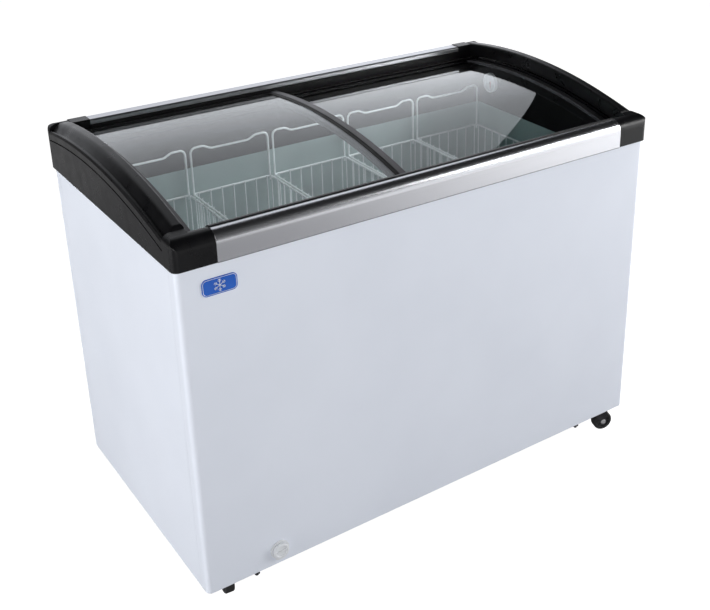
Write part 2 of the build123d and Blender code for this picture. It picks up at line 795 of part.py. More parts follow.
with BuildPart() as thermometer_needle:
    with BuildSketch(dial_plane.offset(3.5)):
        Circle(2.6)
        with Locations((0, 7)):
            Rectangle(1.2, 15)
        Circle(0.95, mode=Mode.SUBTRACT)
    extrude(amount=1)
save(thermometer_needle, "thermometer_needle")

with BuildPart() as thermometer_lens:
    with BuildSketch(dial_plane.offset(6.5)):
        Circle(dial_radius - bezel_rim - 0.2)
    extrude(amount=1.5)
save(thermometer_lens, "thermometer_lens")

# ---------------------------------------------------------------- drain and badge on the front
front_y = -depth / 2
drain_plane = Plane(origin=(drain_x, front_y, drain_z), x_dir=(1, 0, 0), z_dir=(0, -1, 0))

with BuildPart() as drain_surround:
    with BuildSketch(drain_plane.offset(0.1)):
        Circle(plug_radius + 3)
        with Locations((0, -14)):
            RectangleRounded(24, 22, 8)
    extrude(amount=2.2)
    with BuildSketch(drain_plane.offset(-1)):
        Circle(tube_outer + 0.1)
    extrude(amount=6, mode=Mode.SUBTRACT)
save(drain_surround, "drain_surround")

plug_ribs = 24
plug_thick = front_y - 2.8 - plug_front
with BuildPart() as drain_plug:
    with BuildSketch(drain_plane.offset(2.8)):
        Circle(plug_radius)
        with PolarLocations(plug_radius, plug_ribs):
            Circle(0.9, mode=Mode.SUBTRACT)
    extrude(amount=plug_thick)
    fillet(drain_plug.faces().sort_by(Axis.Y)[0].edges(), 0.6)
    with BuildSketch(drain_plane.offset(2.9)):
        Circle(drain_bore - 0.5)
    extrude(amount=-20)
save(drain_plug, "drain_plug")

badge_width = 70.0
badge_height = 34.0
badge_plane = Plane(origin=(badge_x, front_y, badge_z), x_dir=(1, 0, 0), z_dir=(0, -1, 0))
with BuildPart() as badge:
    with BuildSketch(badge_plane):
        RectangleRounded(badge_width, badge_height, 10)
    extrude(amount=1.6)
save(badge, "badge")

# ---------------------------------------------------------------- casters
# Each caster's place, and the angle from +X of the way its wheel trails
corners = {
    "front_left": (-caster_x, -caster_y, 85),
    "front_right": (caster_x, -caster_y, -18),
    "rear_left": (-caster_x, caster_y, 35),
    "rear_right": (caster_x, caster_y, 62),
}
corner_points = [(x, y) for x, y, turn in corners.values()]
plate_points = [(x + plate_shift, y) for x, y in corner_points]
plate_z = floor_gap - 3.0
bolt_pitch_x = 62.0
bolt_pitch_y = 44.0
stem_radius = 5.0
fork_top = plate_z - 5.5
fork_inner = wheel_width / 2 + 1.0
fork_wall = 2.5
axle_radius = 3.0

with BuildPart() as caster_plates:
    with BuildSketch(Plane.XY.offset(plate_z)):
        with Locations(*plate_points):
            RectangleRounded(plate_length, plate_depth, 5)
            with GridLocations(bolt_pitch_x, bolt_pitch_y, 2, 2):
                Circle(3.3, mode=Mode.SUBTRACT)
    extrude(amount=3)
    with BuildSketch(Plane.XY.offset(fork_top + 1)):
        with Locations(*corner_points):
            Circle(19)
    extrude(amount=plate_z - fork_top - 0.5)
    with BuildSketch(Plane.XY.offset(fork_top - 3)):
        with Locations(*corner_points):
            Circle(stem_radius)
    extrude(amount=6)
save(caster_plates, "caster_plates")

with BuildPart() as caster_bolts:
    with BuildSketch(Plane.XY.offset(plate_z - 4)):
        with Locations(*plate_points):
            with GridLocations(bolt_pitch_x, bolt_pitch_y, 2, 2):
                RegularPolygon(5, 6)
    extrude(amount=4)
save(caster_bolts, "caster_bolts")

# levelling studs under the front edge, just inboard of the casters
stud_y = -depth / 2 + 11.0
stud_x = (-462.0, 425.0)
with BuildPart() as levelling_studs:
    with BuildSketch(Plane.XY.offset(floor_gap - 14)):
        with Locations(*[(x, stud_y) for x in stud_x]):
            Circle(4)
    extrude(amount=14)
    with BuildSketch(Plane.XY.offset(floor_gap - 9)):
        with Locations(*[(x, stud_y) for x in stud_x]):
            RegularPolygon(8, 6)
    extrude(amount=6)
save(levelling_studs, "levelling_studs")


def save_caster(name, x, y, turn):
    """Swivel fork with its axle, and the wheel between its cheeks."""
    forward = (cos(radians(turn)), sin(radians(turn)), 0)
    swivel = Plane(origin=(x, y, 0), x_dir=forward, z_dir=(0, 0, 1))
    side = Plane(origin=(x, y, 0), x_dir=forward, z_dir=(forward[1], -forward[0], 0))
    with BuildPart() as fork:
        with BuildSketch(swivel.offset(fork_top - 3)):
            Circle(20)
            with Locations((14, 0)):
                RectangleRounded(38, 2 * (fork_inner + fork_wall), 4)
        extrude(amount=3)
        for cheek in (-fork_inner - fork_wall, fork_inner):
            with BuildSketch(side.offset(cheek)):
                with BuildLine():
                    Polyline(
                        (-4, fork_top - 3),
                        (32, fork_top - 3),
                        (trail + 8, wheel_radius + 4),
                        (trail + 6, wheel_radius - 7),
                        (trail - 6, wheel_radius - 7),
                        (trail - 8, wheel_radius + 2),
                        close=True,
                    )
                make_face()
            extrude(amount=fork_wall)
        with BuildSketch(side.offset(-fork_inner - fork_wall - 2)):
            with Locations((trail, wheel_radius)):
                Circle(axle_radius)
        extrude(amount=2 * (fork_inner + fork_wall + 2))
        with BuildSketch(swivel.offset(fork_top - 10)):
            Circle(stem_radius + 0.06)
        extrude(amount=12, mode=Mode.SUBTRACT)
    save(fork, f"caster_fork_{name}")
    with BuildPart() as wheel:
        with BuildSketch(side.offset(-wheel_width / 2)):
            with Locations((trail, wheel_radius)):
                Circle(wheel_radius)
        extrude(amount=wheel_width)
        fillet(wheel.edges().filter_by(GeomType.CIRCLE), 4)
        for recess in (-wheel_width / 2, wheel_width / 2 - 3):
            with BuildSketch(side.offset(recess)):
                with Locations((trail, wheel_radius)):
                    Circle(wheel_radius - 8)
                    Circle(7, mode=Mode.SUBTRACT)
            extrude(amount=3, mode=Mode.SUBTRACT)
        with BuildSketch(side.offset(-wheel_width)):
            with Locations((trail, wheel_radius)):
                Circle(axle_radius + 0.05)
        extrude(amount=2 * wheel_width, mode=Mode.SUBTRACT)
    save(wheel, f"caster_wheel_{name}")


for corner_name, (corner_x, corner_y, corner_turn) in corners.items():
    save_caster(corner_name, corner_x, corner_y, corner_turn)

# ---------------------------------------------------------------- machine compartment
can_radius = 72.0
can_height = 150.0
can_y = -120.0
can_round = 35.0
mount_height = 14.0
pan_top = floor_gap + pan_thickness

with BuildPart() as compressor_mounts:
    with BuildSketch(Plane.XY.offset(pan_top)):
        with Locations((machine_mid, can_y)):
            with GridLocations(150, 110, 2, 2):
                Circle(12)
    extrude(amount=mount_height)
save(compressor_mounts, "compressor_mounts")

with BuildPart() as compressor:
    with BuildSketch(Plane.XY.offset(pan_top + mount_height)):
        with Locations((machine_mid, can_y)):
            RectangleRounded(180, 140, 15)
    extrude(amount=3)
    with BuildSketch(Plane.XY.offset(pan_top + mount_height + 3)):
        with Locations((machine_mid, can_y)):
            Circle(can_radius)
    extrude(amount=can_height)
    fillet(compressor.edges().filter_by(GeomType.CIRCLE).sort_by(Axis.Z)[-1], can_round)
    with BuildSketch(Plane.XY.offset(pan_top + mount_height + 40)):
        with Locations((machine_mid, can_y + can_radius + 8)):
            RectangleRounded(60, 40, 5)
    extrude(amount=50)
save(compressor, "compressor")

fin_count = 14
fin_pitch = 14.0
fin_depth = 60.0
fin_height = 190.0
condenser_y = 235.0
condenser_z = 190.0
with BuildPart() as condenser:
    for index in range(fin_count):
        with BuildSketch(Plane.YZ.offset(machine_mid + (index - (fin_count - 1) / 2) * fin_pitch)):
            with Locations((condenser_y, condenser_z)):
                Rectangle(fin_depth, fin_height)
        extrude(amount=1)
    with BuildSketch(Plane.YZ.offset(machine_mid - fin_count * fin_pitch / 2)):
        with Locations((condenser_y, condenser_z)):
            with GridLocations(30, 36, 2, 5):
                Circle(4)
    extrude(amount=fin_count * fin_pitch)
save(condenser, "condenser")

fan_back = 100.0
motor_radius = 30.0
motor_length = 45.0
shaft_radius = 4.0
hub_radius = 20.0
fan_plane = Plane(origin=(machine_mid, fan_back, condenser_z), x_dir=(1, 0, 0), z_dir=(0, 1, 0))
with BuildPart() as fan_motor:
    with BuildSketch(fan_plane):
        Circle(motor_radius)
    extrude(amount=motor_length)
    with BuildSketch(fan_plane.offset(motor_length)):
        Circle(shaft_radius)
    extrude(amount=22)
    with BuildSketch(fan_plane.offset(10)):
        with Locations((0, (condenser_z - pan_top) / 2)):
            Rectangle(16, condenser_z - pan_top)
    extrude(amount=3)
    with BuildSketch(Plane.XY.offset(pan_top)):
        with Locations((machine_mid, 120)):
            Rectangle(60, 40)
    extrude(amount=3)
save(fan_motor, "fan_motor")

blade_count = 5
with BuildPart() as fan_blade:
    with BuildSketch(fan_plane.offset(motor_length + 4)):
        Circle(hub_radius)
    extrude(amount=16)
    with BuildSketch(fan_plane.offset(motor_length + 12)):
        with PolarLocations(50, blade_count):
            RectangleRounded(66, 40, 12)
    extrude(amount=1.5)
    with BuildSketch(fan_plane.offset(motor_length - 5)):
        Circle(shaft_radius + 0.05)
    extrude(amount=40, mode=Mode.SUBTRACT)
save(fan_blade, "fan_blade")

louvre_count = 9
louvre_pitch = 21.0
grille_proud = 11.0
knob_inset = 14.0
with BuildPart() as machine_grille:
    with BuildSketch(Plane.XZ.offset(-depth / 2 - 0.1)):
        with Locations((grille_x, grille_z)):
            RectangleRounded(grille_w, grille_h, 6)
            with GridLocations(0, louvre_pitch, 1, louvre_count):
                Rectangle(grille_w - 50, 10, mode=Mode.SUBTRACT)
        with Locations((grille_x - grille_w / 2 + knob_inset, grille_z)):
            Circle(3.3, mode=Mode.SUBTRACT)
    extrude(amount=-2)
    for index in range(louvre_count):
        z = grille_z + (index - (louvre_count - 1) / 2) * louvre_pitch
        with BuildSketch(Plane.YZ.offset(grille_x - (grille_w - 50) / 2)):
            with BuildLine():
                Polyline(
                    (depth / 2 + 1, z + 7),
                    (depth / 2 + grille_proud, z + 1),
                    (depth / 2 + grille_proud, z - 1),
                    (depth / 2 + 1, z + 4.8),
                    close=True,
                )
            make_face()
        extrude(amount=grille_w - 50)
save(machine_grille, "machine_grille")

# Thermostat on the grille's left border, with its knob
knob_x = grille_x - grille_w / 2 + knob_inset
knob_z = grille_z
knob_plane = Plane(origin=(knob_x, depth / 2, knob_z), x_dir=(1, 0, 0), z_dir=(0, 1, 0))
with BuildPart() as thermostat:
    with BuildSketch(knob_plane.offset(-3)):
        RectangleRounded(16, 44, 3)
    extrude(amount=-38)
    with BuildSketch(knob_plane.offset(-4)):
        Circle(3)
    extrude(amount=10.5)
save(thermostat, "thermostat")

with BuildPart() as thermostat_knob:
    with BuildSketch(knob_plane.offset(2.5)):
        Circle(10)
    extrude(amount=6)
    with BuildSketch(knob_plane.offset(8)):
        Rectangle(3.5, 17)
    extrude(amount=3)
    with BuildSketch(knob_plane.offset(1)):
        Circle(3.05)
    extrude(amount=6, mode=Mode.SUBTRACT)
save(thermostat_knob, "thermostat_knob")

with BuildPart() as cord_gland:
    with BuildSketch(Plane.XZ.offset(-depth / 2 + 4)):
        with Locations((gland_x, gland_z)):
            Circle(gland_r - 0.1)
    extrude(amount=-5)
    with BuildSketch(Plane.XZ.offset(-depth / 2 - 0.1)):
        with Locations((gland_x, gland_z)):
            Circle(11)
    extrude(amount=-9)
    with BuildSketch(Plane.XZ.offset(-depth / 2 - 30)):
        with Locations((gland_x, gland_z)):
            Circle(3.8)
    extrude(amount=50, mode=Mode.SUBTRACT)
save(cord_gland, "cord_gland")
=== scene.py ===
"""Looks of the chest freezer: materials, wire baskets, glass, casters and small trim around the CAD frame.

Metres, in the frame's own axes: +X to the right, +Y to the rear, +Z up, floor at z = 0.
"""

import json
import math

import bmesh
import bpy
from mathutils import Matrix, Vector


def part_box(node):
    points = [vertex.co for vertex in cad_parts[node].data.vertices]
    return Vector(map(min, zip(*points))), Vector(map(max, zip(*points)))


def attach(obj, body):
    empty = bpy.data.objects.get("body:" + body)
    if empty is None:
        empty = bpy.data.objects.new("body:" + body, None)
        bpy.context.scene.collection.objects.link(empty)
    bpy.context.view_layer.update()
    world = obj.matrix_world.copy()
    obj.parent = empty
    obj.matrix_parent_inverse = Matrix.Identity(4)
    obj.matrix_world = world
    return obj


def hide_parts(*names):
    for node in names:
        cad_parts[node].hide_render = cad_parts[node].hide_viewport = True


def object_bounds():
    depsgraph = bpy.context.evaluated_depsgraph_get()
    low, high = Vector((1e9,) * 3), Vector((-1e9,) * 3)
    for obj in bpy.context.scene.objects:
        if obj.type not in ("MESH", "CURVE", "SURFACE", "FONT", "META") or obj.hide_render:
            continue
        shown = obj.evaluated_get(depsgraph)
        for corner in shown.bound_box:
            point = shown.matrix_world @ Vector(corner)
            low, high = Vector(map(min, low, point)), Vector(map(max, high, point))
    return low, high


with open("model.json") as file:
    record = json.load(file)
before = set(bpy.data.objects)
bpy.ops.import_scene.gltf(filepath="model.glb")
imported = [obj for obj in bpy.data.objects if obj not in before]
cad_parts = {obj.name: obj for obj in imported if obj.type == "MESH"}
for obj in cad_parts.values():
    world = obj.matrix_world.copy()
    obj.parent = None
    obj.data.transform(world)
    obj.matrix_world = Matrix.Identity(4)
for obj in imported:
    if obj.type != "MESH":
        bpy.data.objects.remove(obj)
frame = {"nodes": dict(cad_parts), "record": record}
cad_low, cad_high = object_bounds()
nodes = frame["nodes"]
scene = bpy.context.scene

# Crown: the arched top turns about one axis parallel to X
CROWN_RADIUS = 1.365
CROWN_Y = 0.085
CROWN_Z = cad_high.z - CROWN_RADIUS
GLASS_THICKNESS = 0.004
# Faces that meet at more than this many degrees keep a sharp edge
SHARP_ANGLE = 35


# ---------------------------------------------------------------- mesh helpers
class Shape:
    """Vertices and faces of one piece, gathered from simple closed shells."""

    def __init__(self):
        self.verts = []
        self.faces = []

    def add(self, verts, faces):
        """Takes in a shell, whose faces count its own vertices from 0."""
        first = len(self.verts)
        self.verts.extend(Vector(v) for v in verts)
        self.faces.extend(tuple(first + i for i in face) for face in faces)

    def rings(self, rings, closed_path=False):
        """A shell through rings with equally many points, capped at both ends unless it is a loop."""
        size = len(rings[0])
        verts = [v for ring in rings for v in ring]
        faces = []
        last = len(rings) if closed_path else len(rings) - 1
        for i in range(last):
            a = i * size
            b = ((i + 1) % len(rings)) * size
            for k in range(size):
                n = (k + 1) % size
                faces.append((a + k, a + n, b + n, b + k))
        if not closed_path:
            faces.append(tuple(reversed(range(size))))
            faces.append(tuple(range((len(rings) - 1) * size, len(rings) * size)))
        self.add(verts, faces)

    def tube(self, path, radius, sides, closed=False):
        """A round bar along a path."""
        points = [Vector(p) for p in path]
        count = len(points)
        side = None
        rings = []
        for i, point in enumerate(points):
            before = points[i - 1] if (i or closed) else point
            after = points[(i + 1) % count] if (i < count - 1 or closed) else point
            along = (after - before).normalized()
            if side is None:
                side = along.orthogonal().normalized()
            side = (side - along * side.dot(along)).normalized()
            up = along.cross(side)
            turns = [2 * math.pi * k / sides for k in range(sides)]
            rings.append([point + radius * (math.cos(t) * side + math.sin(t) * up) for t in turns])
        self.rings(rings, closed)

    def lathe(self, profile, origin, axis, segments, closed=True):
        """Turns (radius, height) points about an axis: a closed profile makes a ring, an open one a solid."""
        axis = Vector(axis).normalized()
        side = axis.orthogonal().normalized()
        other = axis.cross(side)
        origin = Vector(origin)
        rings = []
        for k in range(segments):
            turn = 2 * math.pi * k / segments
            out = math.cos(turn) * side + math.sin(turn) * other
            rings.append([origin + out * r + axis * h for r, h in profile])
        if closed:
            self.rings(rings, closed_path=True)
            return
        # an open profile runs from the axis to the axis, whose points are shared
        size = len(profile)
        first = origin + axis * profile[0][1]
        last = origin + axis * profile[-1][1]
        verts = [first, last] + [v for ring in rings for v in ring[1:-1]]
        inner = size - 2
        faces = []
        for k in range(segments):
            a = 2 + k * inner
            b = 2 + ((k + 1) % segments) * inner
            faces.append((0, b, a))
            faces.append((1, a + inner - 1, b + inner - 1))
            for j in range(inner - 1):
                faces.append((a + j, b + j, b + j + 1, a + j + 1))
        self.add(verts, faces)

    def prism(self, outline, push):
        """A flat outline pushed along a vector."""
        push = Vector(push)
        base = [Vector(p) for p in outline]
        self.rings([base, [p + push for p in base]])

    def box(self, low, high):
        """A block between two corners."""
        (x0, y0, z0), (x1, y1, z1) = low, high
        self.prism([(x0, y0, z0), (x1, y0, z0), (x1, y1, z0), (x0, y1, z0)], (0, 0, z1 - z0))

    def arched_bar(self, x_low, x_high, drop_top, drop_bottom, y_front, y_rear, steps=72):
        """A bar of rectangular section that follows the crown's curve."""
        rings = []
        for i in range(steps + 1):
            y = y_front + (y_rear - y_front) * i / steps
            turn = math.asin((y - CROWN_Y) / CROWN_RADIUS)
            corners = ((x_low, drop_top), (x_high, drop_top), (x_high, drop_bottom), (x_low, drop_bottom))
            ring = []
            for x, drop in corners:
                radius = CROWN_RADIUS - drop
                ring.append((x, CROWN_Y + radius * math.sin(turn), CROWN_Z + radius * math.cos(turn)))
            rings.append(ring)
        self.rings(rings)

    def build(self, name, body, look, bevel=0.0, sharp=SHARP_ANGLE, replaces=()):
        """Makes the object in its look, riding on a body."""
        mesh = bpy.data.meshes.new(name)
        mesh.from_pydata(self.verts, [], self.faces)
        mesh.validate()
        obj = bpy.data.objects.new(name, mesh)
        scene.collection.objects.link(obj)
        make_faces_point_out(mesh)
        shade(mesh, sharp)
        mesh.materials.append(look)
        if bevel:
            soften = obj.modifiers.new("Soft edges", "BEVEL")
            soften.width = bevel
            soften.segments = 2
            soften.limit_method = "ANGLE"
            soften.angle_limit = math.radians(sharp)
            soften.harden_normals = True
        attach(obj, body)
        if replaces:
            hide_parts(*replaces)
        return obj


def make_faces_point_out(mesh):
    work = bmesh.new()
    work.from_mesh(mesh)
    bmesh.ops.recalc_face_normals(work, faces=work.faces)
    work.to_mesh(mesh)
    work.free()


def shade(mesh, sharp):
    """Smooth shading with sharp edges where faces meet at more than this many degrees."""
    mesh.polygons.foreach_set("use_smooth", [True] * len(mesh.polygons))
    mesh.set_sharp_from_angle(angle=math.radians(sharp))


def rounded(corners, radius, steps=6, closed=False):
    """A path through corners, each turned on an arc of that radius."""
    points = [Vector(c) for c in corners]
    count = len(points)
    path = []
    for i, corner in enumerate(points):
        if not closed and i in (0, count - 1):
            path.append(corner)
            continue
        a = (points[i - 1] - corner).normalized()
        b = (points[(i + 1) % count] - corner).normalized()
        half = a.angle(b) / 2
        centre = corner + (a + b).normalized() * radius / math.sin(half)
        start = (corner + a * radius / math.tan(half) - centre).normalized()
        end = (corner + b * radius / math.tan(half) - centre).normalized()
        for k in range(steps + 1):
            path.append(centre + radius * start.slerp(end, k / steps))
    return path


# ---------------------------------------------------------------- node helpers
def add_node(tree, kind, settings=None, **inputs):
    """A node with its properties set, and its inputs linked to a socket or given a value."""
    made = tree.nodes.new(kind)
    for key, value in (settings or {}).items():
        setattr(made, key, value)
    for key, value in inputs.items():
        socket = made.inputs[key.replace("_", " ")]
        if isinstance(value, bpy.types.NodeSocket):
            tree.links.new(value, socket)
        else:
            socket.default_value = value
    return made


def add_ramp(tree, value, start, end, low, high, interpolation="SMOOTHSTEP"):
    """Goes from low to high while value goes from start to end."""
    made = add_node(
        tree,
        "ShaderNodeMapRange",
        {"interpolation_type": interpolation},
        Value=value,
        From_Min=start,
        From_Max=end,
        To_Min=low,
        To_Max=high,
    )
    return made.outputs["Result"]


def add_maths(tree, operation, *terms):
    """Two terms put together, each a socket or a number."""
    made = add_node(tree, "ShaderNodeMath", {"operation": operation})
    for socket, term in zip(made.inputs, terms):
        if isinstance(term, bpy.types.NodeSocket):
            tree.links.new(term, socket)
        else:
            socket.default_value = term
    return made.outputs["Value"]


# ---------------------------------------------------------------- materials
# The span of the noise over which a tone or a roughness changes
TONE_SPAN = (0.35, 0.65)
ROUGHNESS_SPAN = (0.3, 0.7)


class Look:
    """One Principled material, with procedural detail in the object's own metres."""

    def __init__(self, name, roughness, metallic=0.0, **sockets):
        self.material = bpy.data.materials.new(name)
        self.material.use_nodes = True
        self.tree = self.material.node_tree
        self.shader = self.tree.nodes["Principled BSDF"]
        self.shader.inputs["Roughness"].default_value = roughness
        self.shader.inputs["Metallic"].default_value = metallic
        for key, value in sockets.items():
            self.shader.inputs[key.replace("_", " ")].default_value = value
        self.place = self.tree.nodes.new("ShaderNodeTexCoord").outputs["Object"]
        self.normal = None

    def add(self, kind, settings=None, **inputs):
        return add_node(self.tree, kind, settings, **inputs)

    def noise(self, scale, detail, stretch):
        where = self.place
        if stretch:
            where = self.add("ShaderNodeMapping", Vector=where, Scale=stretch).outputs["Vector"]
        return self.add("ShaderNodeTexNoise", Vector=where, Scale=scale, Detail=detail).outputs["Fac"]

    def mottle(self, low, high, scale, detail=3.0, stretch=None):
        """Base colour that drifts between two tones."""
        ramp = self.add("ShaderNodeValToRGB", Fac=self.noise(scale, detail, stretch))
        first, second = ramp.color_ramp.elements
        first.position, second.position = TONE_SPAN
        first.color = (*low, 1.0)
        second.color = (*high, 1.0)
        self.tree.links.new(ramp.outputs["Color"], self.shader.inputs["Base Color"])

    def vary_roughness(self, low, high, scale, stretch=None):
        """Roughness that drifts between two values."""
        spread = add_ramp(self.tree, self.noise(scale, 4.0, stretch), *ROUGHNESS_SPAN, low, high, "LINEAR")
        self.tree.links.new(spread, self.shader.inputs["Roughness"])

    def soft_edges(self, radius):
        """Edges shaded as if they were rounded by radius."""
        bevel = self.add("ShaderNodeBevel", {"samples": 4}, Radius=radius)
        self.normal = bevel.outputs["Normal"]
        self.tree.links.new(self.normal, self.shader.inputs["Normal"])

    def relief(self, height, distance):
        """Adds a layer of bump from a height socket, distance deep."""
        bump = self.add("ShaderNodeBump", Height=height, Distance=distance, Strength=1.0)
        if self.normal:
            self.tree.links.new(self.normal, bump.inputs["Normal"])
        self.normal = bump.outputs["Normal"]
        self.tree.links.new(self.normal, self.shader.inputs["Normal"])

    def grain(self, scale, distance, detail, stretch=None):
        """Adds a layer of bump from noise."""
        self.relief(self.noise(scale, detail, stretch), distance)


def powder_coat(name, low, high, roughness):
    """Baked powder coat on thin sheet: fine orange peel over a faint waviness of the metal."""
    look = Look(name, roughness, Specular_IOR_Level=0.45)
    look.mottle(low, high, 5.0, 2.0)
    look.vary_roughness(roughness - 0.04, roughness + 0.05, 9.0)
    look.soft_edges(0.0012)
    look.grain(2.2, 0.0006, 1.0)
    look.grain(520.0, 0.00005, 2.0)
    return look.material


def moulded(name, low, high, roughness, grain=1500.0, depth=0.00004, coat=0.0, sheen=0.5):
    """Injection-moulded plastic with a fine spark-eroded grain."""
    look = Look(name, roughness, Specular_IOR_Level=sheen, Coat_Weight=coat)
    look.mottle(low, high, 14.0, 4.0)
    look.vary_roughness(roughness - 0.05, roughness + 0.06, 30.0)
    look.soft_edges(0.0012)
    look.grain(grain, depth, 2.0)
    return look.material


def drawn_metal(name, low, high, roughness, stretch, unevenness=1.0):
    """Extruded or drawn metal with faint lines along its length."""
    look = Look(name, roughness, metallic=1.0)
    look.mottle(low, high, 40.0, 3.0, stretch)
    look.vary_roughness(roughness - 0.04 * unevenness, roughness + 0.06 * unevenness, 60.0, stretch)
    look.soft_edges(0.0006)
    look.grain(900.0, 0.00002 * unevenness, 2.0, stretch)
    return look.material


def clear_glass(name, tint):
    """Polished glass with a hardly uneven tint."""
    look = Look(name, 0.0, Transmission_Weight=1.0, IOR=1.52)
    look.mottle(tint, tuple(min(1.0, c * 1.015) for c in tint), 3.0, 1.0)
    return look.material


def liner_sheet(name):
    """Pale aluminium liner: shallow stucco embossing over slack dents from the foam behind it."""
    look = Look(name, 0.36, metallic=0.35, Specular_IOR_Level=0.5)
    look.mottle((0.38, 0.49, 0.485), (0.45, 0.56, 0.555), 9.0, 3.0)
    look.vary_roughness(0.28, 0.46, 24.0)
    look.grain(7.0, 0.003, 1.0)
    cells = look.add("ShaderNodeTexVoronoi", {"feature": "SMOOTH_F1"}, Vector=look.place, Scale=170.0)
    look.relief(cells.outputs["Distance"], 0.00012)
    return look.material


def coated_wire(name):
    """White dip-coated wire: soft, slightly uneven plastic skin."""
    look = Look(name, 0.3, Specular_IOR_Level=0.5, Coat_Weight=0.2)
    look.mottle((0.84, 0.88, 0.89), (0.88, 0.92, 0.93), 45.0, 3.0)
    look.vary_roughness(0.24, 0.4, 80.0)
    look.grain(260.0, 0.00012, 2.0)
    return look.material


def foam_look(name):
    """Yellow rigid foam with an open surface."""
    look = Look(name, 0.9, Specular_IOR_Level=0.2)
    look.mottle((0.72, 0.60, 0.34), (0.82, 0.71, 0.46), 60.0, 5.0)
    look.grain(700.0, 0.0004, 3.0)
    return look.material


# How the lines in a metal are drawn out
ALONG_X = (0.03, 1.0, 1.0)
ALONG_Z = (1.0, 1.0, 0.03)
EVENLY = (1, 1, 1)
looks = {
    "cabinet_steel": powder_coat("Powder coat white", (0.765, 0.805, 0.89), (0.79, 0.83, 0.915), 0.40),
    "base_steel": drawn_metal("Galvanised sheet", (0.38, 0.39, 0.40), (0.52, 0.53, 0.54), 0.45, EVENLY),
    "foam": foam_look("Rigid foam"),
    "liner_sheet": liner_sheet("Embossed liner"),
    "collar_plastic": moulded(
        "Collar plastic", (0.0015, 0.0015, 0.002), (0.0025, 0.0025, 0.003), 0.5, sheen=0.12
    ),
    "cap_plastic": moulded(
        "Cap plastic", (0.0035, 0.0035, 0.0042), (0.0055, 0.0055, 0.0065), 0.3, sheen=0.32
    ),
    "rail_aluminium": drawn_metal(
        "Satin aluminium", (0.80, 0.81, 0.85), (0.84, 0.85, 0.89), 0.25, ALONG_X, 0.15
    ),
    "track_plastic": moulded(
        "Track plastic", (0.003, 0.003, 0.0035), (0.005, 0.005, 0.0055), 0.4, sheen=0.3
    ),
    "badge_plate": moulded("Badge blue", (0.012, 0.10, 0.50), (0.018, 0.13, 0.58), 0.22, coat=0.6),
    "white_plastic": moulded("White plastic", (0.76, 0.78, 0.81), (0.80, 0.82, 0.85), 0.35),
    "copper_tube": drawn_metal("Copper tube", (0.62, 0.30, 0.19), (0.76, 0.42, 0.28), 0.3, EVENLY),
    "compressor_black": moulded(
        "Black enamel", (0.010, 0.010, 0.010), (0.018, 0.018, 0.019), 0.3, 300.0, 0.0001
    ),
    "rubber_foot": moulded(
        "Mount rubber", (0.014, 0.014, 0.014), (0.022, 0.022, 0.022), 0.8, 400.0, 0.0001
    ),
    "fin_aluminium": drawn_metal("Fin aluminium", (0.62, 0.63, 0.65), (0.72, 0.73, 0.75), 0.35, ALONG_Z),
    "motor_steel": drawn_metal("Zinc motor shell", (0.40, 0.41, 0.43), (0.55, 0.56, 0.58), 0.4, EVENLY),
    "grille_steel": powder_coat("Grille powder coat", (0.74, 0.75, 0.78), (0.77, 0.78, 0.81), 0.42),
    "dial_face": moulded("Dial face", (0.78, 0.80, 0.83), (0.82, 0.84, 0.87), 0.4, 2000.0, 0.00001),
    "needle_red": moulded("Needle red", (0.45, 0.02, 0.015), (0.55, 0.03, 0.02), 0.4),
    "lens_clear": clear_glass("Dial lens", (0.93, 0.95, 0.96)),
    "zinc_steel": drawn_metal("Black zinc plate", (0.050, 0.050, 0.054), (0.085, 0.085, 0.09), 0.34, EVENLY),
    "wheel_rubber": moulded(
        "Wheel rubber", (0.010, 0.010, 0.011), (0.017, 0.017, 0.018), 0.55, 700.0, 0.0001
    ),
    "lid_glass": clear_glass("Lid glass", (0.87, 0.92, 0.93)),
    "lid_trim_plastic": moulded("Lid trim", (0.075, 0.075, 0.083), (0.09, 0.09, 0.10), 0.38),
    "basket_wire": coated_wire("Coated wire"),
}
black_seal = moulded("Seal rubber", (0.004, 0.004, 0.004), (0.007, 0.007, 0.007), 0.55, 900.0, 0.00006)
bright_screw = drawn_metal("Screw steel", (0.62, 0.62, 0.63), (0.72, 0.72, 0.73), 0.28, EVENLY)
print_grey = moulded("Dial print", (0.10, 0.11, 0.13), (0.13, 0.14, 0.16), 0.5)
rear_rail_metal = drawn_metal(
    "Rear rail aluminium", (0.56, 0.57, 0.60), (0.61, 0.62, 0.65), 0.3, ALONG_X, 0.15
)
badge_light = moulded("Badge light", (0.72, 0.76, 0.82), (0.78, 0.82, 0.88), 0.3)
hub_plastic = moulded("Hub plastic", (0.030, 0.030, 0.032), (0.045, 0.045, 0.048), 0.4)

slot_of = {part["node"]: part["material_slot"] for part in frame["record"]["subparts"]}
for node_name, node in nodes.items():
    node.data.materials.clear()
    node.data.materials.append(looks[slot_of[node_name]])
    shade(node.data, SHARP_ANGLE)
nodes["rear_rail"].data.materials[0] = rear_rail_metal


# ---------------------------------------------------------------- lids
def lid_pane(prefix):
    """Curved glass of one lid. Returns how far its top lies below the crown."""
    low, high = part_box(f"{prefix}_glass")
    drop = CROWN_RADIUS - (high.z - CROWN_Z)
    pane = Shape()
    pane.arched_bar(low.x, high.x, drop, drop + GLASS_THICKNESS, low.y, high.y, 96)
    made = pane.build(
        f"{prefix}_pane", prefix, looks["lid_glass"], 0.0006, replaces=[f"{prefix}_glass"]
    )
    made.visible_shadow = False
    return drop


upper_drop = lid_pane("upper_lid")
lid_pane("lower_lid")
nodes["thermometer_lens"].visible_shadow = False

